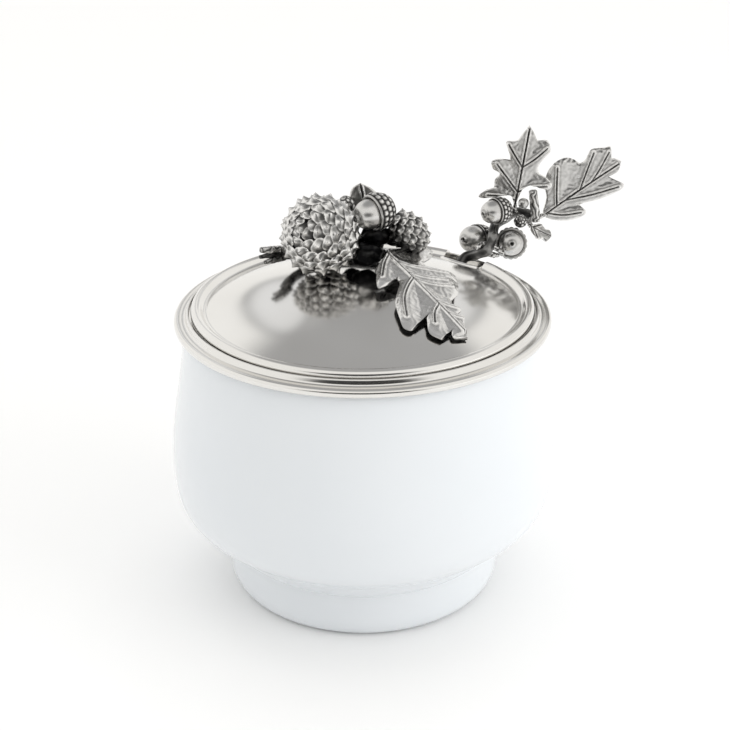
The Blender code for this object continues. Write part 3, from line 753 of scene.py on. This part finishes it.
def leaf_grid(length, left, right, veins, place, rows, cols, fold, bright=0.66, back=0.5):
    """A lobed leaf as one closed grid.

    An outline is (share along the midrib, along, across); each row runs from
    the midrib straight to both outlines. Every vein is a groove between two
    shoulders on the crest of a fold, whose sides fall away by fold, and the
    edge is rolled down. The underside follows, thinning out at the edge.
    bright and back are how bright the two faces are left, from 0 to 1: buffing,
    and where back is near zero, painted shade under the leaf.
    """
    share = np.linspace(0.0, 1.0, rows)
    t = np.linspace(0.0, 1.0, cols)
    halves = []
    for outline, sign in ((left, -1.0), (right, 1.0)):
        edge = curve_through([(0.0, 0.0, 0.0), *outline, (1.0, length, 0.0)], 800)
        anchor = np.maximum.accumulate(edge[:, 0])
        along = np.interp(share, anchor, edge[:, 1])[:, None]
        across = np.interp(share, anchor, edge[:, 2])[:, None] * sign
        rib = share[:, None] * length
        halves.append((rib + t * (along - rib), t * across))
    a = np.hstack([halves[0][0][:, ::-1], halves[1][0][:, 1:]])
    b = np.hstack([halves[0][1][:, ::-1], halves[1][1][:, 1:]])
    edge_share = np.concatenate([t[::-1], t[1:]])[None, :]
    rib_distance = np.abs(b) + 100.0 * ((a < -1.0) | (a > 0.97 * length))
    vein = rib_distance.copy()
    for bends in veins:
        path = curve_through(bends, 14)
        for (x0, y0), (x1, y1) in zip(path[:-1], path[1:]):
            s = np.clip(((a - x0) * (x1 - x0) + (b - y0) * (y1 - y0))
                        / ((x1 - x0) ** 2 + (y1 - y0) ** 2), 0.0, 1.0)
            vein = np.minimum(vein, np.hypot(a - x0 - s * (x1 - x0), b - y0 - s * (y1 - y0)))
    groove = np.exp(-(vein / 0.19) ** 2)
    shoulder = np.exp(-((vein - 0.42) / 0.2) ** 2) + 0.4 * np.exp(-((rib_distance - 0.6) / 0.3) ** 2)
    trough = np.exp(-((vein - 0.95) / 0.3) ** 2)
    fall = 1.0 - np.exp(-(vein / 2.6) ** 1.5)
    roll = np.clip((edge_share - 0.72) / 0.28, 0.0, 1.0) ** 2
    grain = (np.sin(2.1 * a + 1.7 * np.sin(1.3 * b)) * np.sin(2.7 * b + 1.1 * np.sin(1.9 * a)))
    lift = (-0.26 * groove + 0.20 * shoulder - 0.06 * trough - fold * fall - 0.35 * roll
            + 0.05 * grain)
    shine = np.clip(bright - 0.50 * groove + 0.20 * shoulder - 0.14 * trough + 0.32 * roll
                    + 0.05 * grain, 0.0, 1.0)
    thick = LEAF_THICKNESS * np.sqrt(1.0 - edge_share ** 12)
    top = place(a, b, lift + LEAF_THICKNESS / 2.0)
    under = place(a, b, lift + LEAF_THICKNESS / 2.0 - thick)[:, -2::-2]
    grid = np.concatenate([top, under, top[:, :1]], axis=1)
    reverse = np.clip(back - 0.4 * groove + 0.3 * roll, 0.0, 1.0)[:, -2::-2]
    return grid, np.hstack([shine, reverse, shine[:, :1]])


def flat_place(base, tip, across_dir, bow, cup):
    """Stands a flat leaf between two points, bowed along and cupped across."""
    base, tip = np.asarray(base, float), np.asarray(tip, float)
    ahead = (tip - base) / np.linalg.norm(tip - base)
    side = np.asarray(across_dir, float)
    side = side - side.dot(ahead) * ahead
    side /= np.linalg.norm(side)
    normal = np.cross(side, ahead)
    length = np.linalg.norm(tip - base)

    def place(a, b, lift):
        u = np.clip(a / length, 0.0, 1.0)
        rise = lift + bow * 4.0 * u * (1.0 - u) + cup * (b / 8.0) ** 2
        return base + a[..., None] * ahead + b[..., None] * side + rise[..., None] * normal

    return place


FRONT_BASE, FRONT_TIP = np.array((6.7, 0.5)), np.array((26.0, -27.9))
front_length = np.linalg.norm(FRONT_TIP - FRONT_BASE)
front_ahead = (FRONT_TIP - FRONT_BASE) / front_length
front_side = np.array((-front_ahead[1], front_ahead[0]))


def draped(a, b, lift):
    """Lays the front leaf over the dome, standing off it most at its base."""
    x = FRONT_BASE[0] + a * front_ahead[0] + b * front_side[0]
    y = FRONT_BASE[1] + a * front_ahead[1] + b * front_side[1]
    rise = 4.2 * (1.0 - np.clip(a / front_length, 0.0, 1.0)) ** 2
    droop = np.where(b < 0.0, 0.06, 0.02)
    stand = 2.0 + rise * (1.0 - droop * np.abs(b))
    return np.stack([x, y, dome(x, y) + stand + lift], -1)


front_left = [(0.02, 0.5, 2.0), (0.05, 1.4, 3.6), (0.09, 2.6, 6.0), (0.13, 4.8, 7.0),
              (0.17, 7.6, 8.9), (0.20, 9.2, 9.2), (0.23, 9.5, 6.8), (0.26, 8.3, 4.4),
              (0.30, 8.6, 3.3), (0.34, 10.6, 3.8), (0.39, 12.8, 5.8), (0.47, 16.6, 9.4),
              (0.55, 22.0, 12.0), (0.61, 25.6, 13.2), (0.65, 27.1, 11.8), (0.69, 25.6, 9.3),
              (0.72, 23.6, 6.9), (0.745, 23.6, 5.6), (0.77, 25.6, 6.1), (0.82, 29.7, 8.4),
              (0.86, 32.4, 7.2), (0.89, 32.6, 6.4), (0.92, 31.2, 5.0), (0.94, 30.4, 3.6),
              (0.96, 31.4, 2.9), (0.98, 33.4, 3.5)]
front_right = [(0.02, -3.4, 1.2), (0.04, -6.2, 3.4), (0.06, -6.6, 7.0), (0.08, -5.6, 11.6),
               (0.10, -4.2, 15.8), (0.125, -1.6, 16.2), (0.15, 1.2, 13.0), (0.18, 3.2, 9.4),
               (0.21, 5.4, 8.8), (0.26, 6.6, 11.6), (0.32, 10.0, 13.8), (0.39, 13.4, 12.9),
               (0.46, 16.6, 10.6), (0.53, 19.2, 8.4), (0.58, 20.6, 5.6), (0.64, 23.0, 4.1),
               (0.71, 25.6, 4.7), (0.77, 26.6, 2.9), (0.82, 28.3, 3.6), (0.88, 29.8, 2.5),
               (0.93, 31.8, 1.2)]
front_veins = [[(0.0, 0.5), (-1.3, 4.0), (-2.0, 9.0), (-1.9, 15.2)],
               [(0.5, 0.0), (3.0, -3.2), (6.9, -6.6)],
               [(4.0, 0.0), (6.8, 3.2), (9.0, 7.6), (10.6, 11.6)],
               [(11.5, 0.0), (14.0, -3.6), (17.5, -7.1), (23.4, -10.6)],
               [(12.0, 0.0), (15.1, 4.0), (16.6, 8.6)], [(9.0, 0.0), (12.0, 4.0), (13.8, 9.0)],
               [(22.6, 0.0), (25.0, -3.2), (28.4, -5.6)],
               [(21.0, 0.0), (23.4, 1.9), (25.2, 3.9)], [(26.0, 0.0), (28.0, 1.6), (28.8, 2.8)]]
# The front leaf's underside is left near black (back 0.06): painted shade under the leaf.
grid, shine = leaf_grid(front_length, front_left, front_right, front_veins, draped, 280, 80, 1.1,
                        bright=0.80, back=0.06)
piece("front_leaf_cast", [grid], leaf_pewter, "lid", ["oak_leaf_front"],
      [shine], crease=60.0)

rear_left = [(0.2, 3.0, 1.6), (0.45, 6.2, 3.4), (0.66, 9.6, 3.8), (0.85, 12.8, 2.6)]
rear_right = [(0.2, 3.0, 2.0), (0.45, 6.2, 4.3), (0.66, 9.0, 4.6), (0.85, 11.8, 2.8)]
grid, shine = leaf_grid(13.9, rear_left, rear_right, [[(2.0, 0.0), (6.0, -3.0)],
                                                      [(2.0, 0.0), (6.0, 3.0)]],
                        flat_place((2.0, 13.2, 95.5), (-0.6, 16.5, 109.0), (1.0, 0.0, 0.2),
                                   -1.2, -1.0), 60, 20, 0.3)
piece("rear_leaf_cast", [grid], leaf_pewter, "lid", ["oak_leaf_rear"],
      [shine], crease=60.0)

upright_left = [(0.08, 3.5, 2.0), (0.13, 3.4, 5.6), (0.17, 1.4, 8.6), (0.21, 1.6, 10.8),
                (0.25, 3.6, 9.4), (0.30, 4.8, 7.0), (0.36, 7.2, 7.0), (0.41, 9.2, 6.0),
                (0.46, 10.4, 8.2), (0.51, 12.6, 8.9), (0.56, 13.4, 6.8), (0.60, 12.6, 4.4),
                (0.66, 14.4, 3.9), (0.73, 17.4, 5.4), (0.78, 18.8, 5.7), (0.84, 19.3, 2.9),
                (0.93, 22.2, 1.3)]
upright_right = [(0.10, 3.4, 0.8), (0.20, 6.0, 1.8), (0.27, 7.4, 4.8), (0.33, 6.4, 8.2),
                 (0.38, 8.0, 9.4), (0.43, 9.8, 7.6), (0.49, 10.8, 5.2), (0.56, 13.0, 4.7),
                 (0.64, 15.6, 5.9), (0.71, 17.8, 7.1), (0.78, 20.6, 5.8), (0.84, 20.0, 3.3),
                 (0.93, 22.4, 1.5)]
upright_veins = [[(2.0, 0.0), (2.6, -4.0), (2.4, -8.4)], [(4.5, 0.0), (8.6, -4.0), (12.0, -7.4)],
                 [(4.5, 0.0), (6.4, 3.4), (7.4, 8.0)], [(12.0, 0.0), (15.0, -2.6), (18.0, -5.0)],
                 [(12.0, 0.0), (15.0, 3.2), (18.4, 6.0)]]
grid, shine = leaf_grid(24.0, upright_left, upright_right, upright_veins,
                        flat_place((43.9, 44.4, 92.5), (47.4, 44.4, 116.2), (1.0, 0.0, 0.0),
                                   0.3, 0.3), 220, 60, 0.7)
piece("upright_leaf_cast", [grid], leaf_pewter, "spoon",
      ["spoon_leaf_upright"], [shine], crease=60.0)

right_top = [(0.06, 1.4, 1.5), (0.14, 4.0, 3.8), (0.22, 5.8, 7.4), (0.31, 8.8, 10.2),
             (0.40, 12.2, 11.2), (0.48, 15.2, 10.4), (0.54, 16.8, 8.4), (0.58, 17.6, 6.6),
             (0.65, 19.6, 6.8), (0.72, 22.4, 8.2), (0.80, 25.4, 6.6), (0.86, 27.3, 5.6),
             (0.91, 25.6, 3.2), (0.96, 26.6, 1.4)]
right_low = [(0.06, 1.7, 3.0), (0.16, 5.4, 6.0), (0.26, 9.4, 7.3), (0.33, 11.0, 6.6),
             (0.38, 10.0, 4.6), (0.43, 11.2, 4.0), (0.54, 16.4, 6.0), (0.66, 22.6, 7.0),
             (0.74, 24.2, 5.9), (0.80, 21.8, 3.4), (0.85, 21.4, 1.7), (0.93, 24.8, 2.0)]
right_veins = [[(1.5, 0.0), (5.0, 3.4), (9.6, 5.9)], [(5.0, 0.0), (7.6, -4.0), (11.6, -9.6)],
               [(8.0, 0.0), (15.0, 3.2), (22.6, 5.8)], [(13.0, 0.0), (17.0, -3.0), (22.4, -7.0)],
               [(17.0, 0.0), (21.0, -1.8), (26.0, -4.6)]]
grid, shine = leaf_grid(27.3, right_top, right_low, right_veins,
                        flat_place((52.5, 47.4, 88.6), (73.9, 47.4, 104.4), (0.6, 0.0, -0.8),
                                   -0.4, 0.3), 240, 60, 0.7)
piece("right_leaf_cast", [grid], leaf_pewter, "spoon",
      ["spoon_leaf_right"], [shine], crease=60.0)

low_side = [(0.2, 1.5, 1.6), (0.45, 3.4, 2.8), (0.65, 5.0, 1.9), (0.85, 6.4, 2.1)]
grid, shine = leaf_grid(7.2, low_side, low_side, [[(1.0, 0.0), (3.2, -2.4)],
                                                  [(1.0, 0.0), (3.2, 2.4)]],
                        flat_place((48.4, 43.0, 87.0), (54.6, 43.0, 83.7), (0.1, -0.75, -0.65),
                                   -0.3, -0.3), 60, 20, 0.2)
piece("low_leaf_cast", [grid], leaf_pewter, "spoon",
      ["spoon_leaf_low"], [shine], crease=50.0)


# ------------------------------------------------------- branch, twigs and stem
# Cast twigs with furrowed bark, knots and broken ends. The spoon's stem is the
# longest: it runs from the scoop up through the notch to the leaves.

bark_pewter = antiqued("antiqued_bark", 800.0, 0.4)


def furrows(count, depth, knots):
    """Bark: furrows that wander round the twig, and swellings at the knots."""
    def ridges(turn, share):
        wander = 0.9 * np.sin(9.0 * share + 1.0) + 0.5 * np.sin(23.0 * share)
        lines = 0.5 + 0.5 * np.sin(count * turn + 2.2 * wander
                                   + 1.3 * np.sin(2.0 * turn + 17.0 * share))
        swell = sum(0.35 * np.exp(-((share - k) / 0.018) ** 2) * (0.6 + 0.4 * np.sin(turn + 20 * k))
                    for k in knots)
        return 1.0 - depth * (1.0 - lines) ** 1.5 + swell
    return ridges


def twig(name, points, radii, body, nodes, count, depth, knots=(), samples=120, worn=1.0):
    """A barked twig along a smooth curve through points, radii spread along it;
    worn scales how bright its high spots are: buffing, and on the lid's branch
    under the cluster, painted shade."""
    path = curve_through(points, samples)
    radius = np.interp(np.linspace(0.0, 1.0, samples), np.linspace(0.0, 1.0, len(radii)), radii)
    grid, reach = tube(path, radius, 36, furrows(count, depth, knots))
    shine = worn * np.clip(0.2 + 0.6 * (reach - 1.0 + depth) / depth, 0.0, 1.0)
    shine = np.vstack([shine[:1] * 0.3, shine, shine[-1:] * 0.3])
    piece(name, [grid], bark_pewter, body, nodes, [shine], crease=60.0)


# The branch under the cluster is kept dark (worn 0.3): painted shade.
twig("lid_branch_cast", [(-23.0, 9.0, 92.0), (-18.5, 14.6, 89.7), (-9.0, 17.4, 88.9),
                         (2.0, 14.8, 89.8), (9.0, 11.0, 89.4)], [1.9, 1.9, 1.7, 1.4], "lid",
     ["lid_branch"], 5, 0.16, (0.3, 0.62), worn=0.3)
twig("branch_prong_upper", [(-21.4, 8.6, 93.0), (-24.2, 5.4, 93.9), (-27.0, 4.2, 94.4)],
     [1.0, 1.15, 0.75], "lid", ["branch_end"], 3, 0.12, samples=40)
twig("branch_prong_middle", [(-21.4, 8.2, 91.6), (-24.4, 5.0, 92.6), (-27.2, 3.6, 92.6)],
     [0.9, 0.8, 0.5], "lid", [], 3, 0.12, samples=40, worn=0.4)
twig("branch_prong_lower", [(-21.0, 8.0, 90.8), (-23.8, 5.0, 91.2), (-26.0, 3.8, 91.0)],
     [0.9, 0.9, 0.5], "lid", [], 3, 0.12, samples=40, worn=0.7)
twig("acorn_stalk_cast", [(4.2, 11.2, 92.6), (4.8, 11.2, 95.6), (5.8, 11.2, 98.0)],
     [1.5, 1.3, 1.2], "lid", ["acorn_stalk"], 5, 0.15, (0.5,), samples=50, worn=0.3)
twig("spoon_twig_cast", [(50.2, 43.8, 88.2), (50.0, 43.8, 90.4), (49.4, 43.8, 94.2),
                         (49.0, 43.8, 97.4)], [1.3, 1.35, 1.35, 1.2], "spoon",
     ["spoon_twig"], 6, 0.12, samples=60)

STEM_AZIMUTH, STEM_ELEVATION = math.radians(47.0), math.radians(50.0)
STEM_NOTCH_RADIUS, STEM_NOTCH_Z = 40.4, 80.0
SCOOP_TIP_Z = 10.4
SCOOP_LENGTH, SCOOP_WIDTH, SCOOP_DEPTH = 36.0, 21.0, 4.5


def on_stem(distance):
    """Points on the stem's straight axis, measured up it from the notch."""
    distance = np.asarray(distance, float)
    radius = STEM_NOTCH_RADIUS + distance * math.cos(STEM_ELEVATION)
    return np.stack([radius * math.cos(STEM_AZIMUTH), radius * math.sin(STEM_AZIMUTH),
                     STEM_NOTCH_Z + distance * math.sin(STEM_ELEVATION)], -1)


reach = (STEM_NOTCH_Z - SCOOP_TIP_Z) / math.sin(STEM_ELEVATION)
stem_low = -(reach - SCOOP_LENGTH - 0.2)
stem_points = list(on_stem(np.linspace(stem_low, 2.0, 9))) + [
    (31.6, 31.2, 82.5), (35.0, 32.8, 83.2), (37.0, 35.2, 85.6), (37.6, 38.2, 87.5),
    (39.2, 42.6, 88.3), (44.5, 46.8, 89.8), (50.4, 47.2, 88.6)]
twig("spoon_stem_cast", stem_points, [1.4, 1.5, 1.5, 1.5, 1.6, 1.5, 1.4, 1.4, 1.5, 1.5], "spoon",
     ["spoon_stem"], 5, 0.14, (0.60, 0.67, 0.75, 0.9), samples=300, worn=0.4)
# Each sprig: three points and a thickness. The last three tie the leaves on.
SPRIGS = [([(34.4, 33.0, 83.0), (36.6, 33.4, 81.9), (38.8, 34.8, 81.0)], 0.9),
          ([(32.4, 31.6, 83.2), (33.4, 33.4, 84.6), (35.2, 35.8, 84.4)], 0.8),
          ([(35.8, 34.0, 84.2), (38.4, 34.4, 83.2), (40.6, 35.6, 81.2)], 0.8),
          ([(36.2, 34.6, 85.4), (37.4, 36.6, 84.6), (38.0, 39.4, 82.6)], 0.9),
          ([(49.6, 47.2, 88.7), (51.2, 47.4, 88.3), (54.0, 47.2, 89.2)], 0.8),
          ([(48.6, 46.6, 88.4), (48.5, 45.0, 87.2), (49.2, 43.2, 86.7)], 0.8),
          ([(44.4, 46.6, 89.6), (44.2, 45.6, 91.2), (44.1, 44.6, 93.4)], 0.7)]
for number, (curl, thick) in enumerate(SPRIGS):
    twig("stem_sprig_" + str(number), curl, [0.8 * thick, thick, 0.7 * thick], "spoon", [],
         3, 0.2, (0.3, 0.7), samples=44)


# -------------------------------------------------------------- spoon's scoop
# An oval scoop of polished pewter, hidden in the sugar: a sheet a little over a
# millimetre thick with a rounded rim, soldered to the foot of the stem.

SCOOP_THICKNESS = 1.2
down = (on_stem(-1.0) - on_stem(0.0))
down /= np.linalg.norm(down)
sideways = np.array((-math.sin(STEM_AZIMUTH), math.cos(STEM_AZIMUTH), 0.0))
out_of_scoop = np.cross(sideways, down)
out_of_scoop *= np.sign(out_of_scoop[2])
scoop_centre = on_stem(-(reach - SCOOP_LENGTH / 2.0))
ring_share = np.concatenate([np.linspace(0.0, 0.985, 22), [1.0], np.linspace(0.985, 0.0, 22)])
over = np.concatenate([np.full(22, 0.5), [0.0], np.full(22, -0.5)])[:, None]
turn = np.append(np.linspace(0.0, 2.0 * math.pi, 96, endpoint=False), 0.0)[None, :]
ring_share = ring_share[:, None]
depth = -SCOOP_DEPTH * (1.0 - ring_share ** 2) + over * SCOOP_THICKNESS
scoop = (scoop_centre
         + (SCOOP_LENGTH / 2.0 * ring_share * np.cos(turn))[..., None] * down
         + (SCOOP_WIDTH / 2.0 * ring_share * np.sin(turn))[..., None] * sideways
         + (depth * np.ones_like(turn))[..., None] * out_of_scoop)
piece("spoon_scoop", [scoop], polish, "spoon", ["spoon_bowl"])
